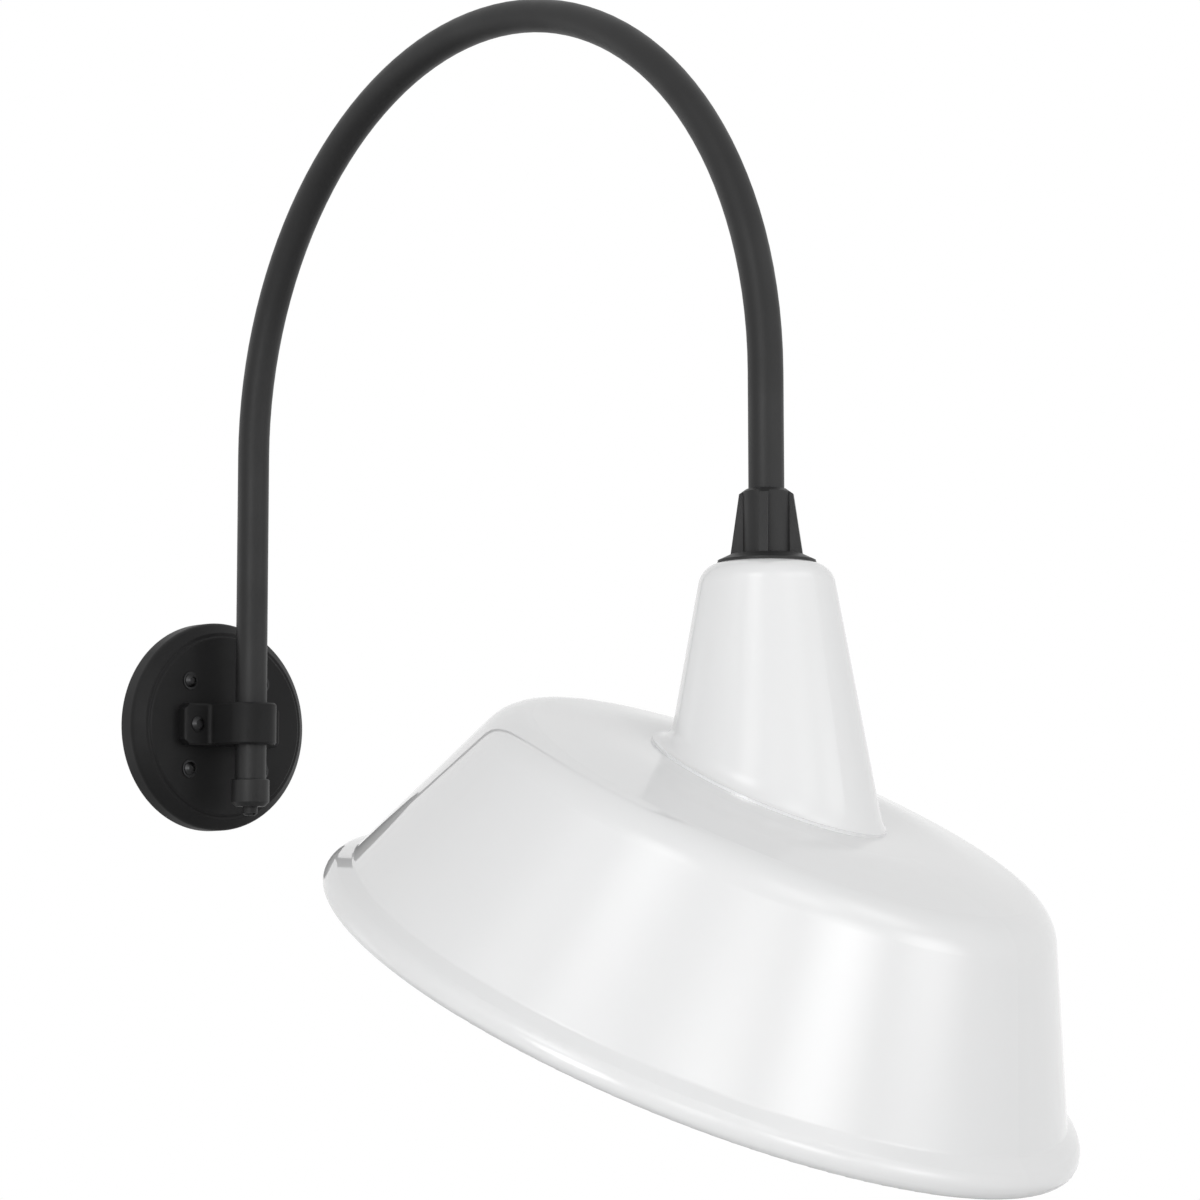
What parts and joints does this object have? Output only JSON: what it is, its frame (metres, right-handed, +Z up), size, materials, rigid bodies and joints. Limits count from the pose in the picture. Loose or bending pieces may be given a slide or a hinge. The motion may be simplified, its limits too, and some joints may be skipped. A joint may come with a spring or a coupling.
{
  "type": "barn light",
  "caption": "Wall light with a bent pipe arm on a round canopy, a ribbed hub and an angled bell-shaped enamelled shade over a screw lampholder.",
  "frame": {"origin": "centre of the two outlet-box slots, on the wall plane behind the canopy", "axes": "+X out of the wall, +Z up, +Y completes a right-handed frame"},
  "size_m": [0.7387, 0.4686, 0.7463],
  "materials": {
    "black_powder_coat": "satin powder coat",
    "white_enamel": "gloss enamel",
    "black_screws": "black oxide",
    "zinc_steel": "zinc plated",
    "green_zinc": "green dyed",
    "brass": "plain",
    "nickel_brass": "nickel plated",
    "black_rubber": "matt",
    "porcelain": "glazed",
    "black_wire": "insulation",
    "green_wire": "insulation",
    "connector_plastic": "moulded"
  },
  "bodies": {
    "wall_mount": {"canopy": "black_powder_coat", "wall_gasket": "black_rubber", "mounting_plate": "zinc_steel", "canopy_screws": "black_screws", "canopy_washers": "black_screws", "arm_bracket": "black_powder_coat", "bracket_screws": "black_screws", "arm_set_screw": "black_screws", "ground_screw": "green_zinc", "ground_terminal": "brass", "canopy_grommet": "black_rubber", "wire_connectors": "connector_plastic", "fixture_leads": "black_wire", "ground_lead": "green_wire"},
    "arm": {"gooseneck_arm": "black_powder_coat", "lamp_cable": "black_wire", "arm_end_cap": "black_powder_coat", "cap_plug": "black_powder_coat"},
    "shade": {"hub": "black_powder_coat", "hub_set_screw": "black_screws", "hub_gasket": "black_rubber", "threaded_nipple": "zinc_steel", "lock_washer": "zinc_steel", "lock_nut": "zinc_steel", "socket_strap": "zinc_steel", "strap_screws": "zinc_steel", "socket_body": "porcelain", "screw_shell": "nickel_brass", "centre_contact": "brass", "terminal_screws": "brass", "socket_leads": "black_wire", "shade_neck": "white_enamel", "shade_collar": "white_enamel", "reflector": "white_enamel"}
  },
  "joints": [
    {"name": "arm_swivel", "type": "hinge", "parent": "wall_mount", "child": "arm", "pos_m": [0.0505, 0, 0], "axis": [0, 0, 1], "range_deg": [-60, 60]},
    {"name": "shade_swivel", "type": "hinge", "parent": "arm", "child": "shade", "pos_m": [0.5675, 0, 0.1], "axis": [0, 0, 1], "range_deg": [-175, 175]}
  ]
}
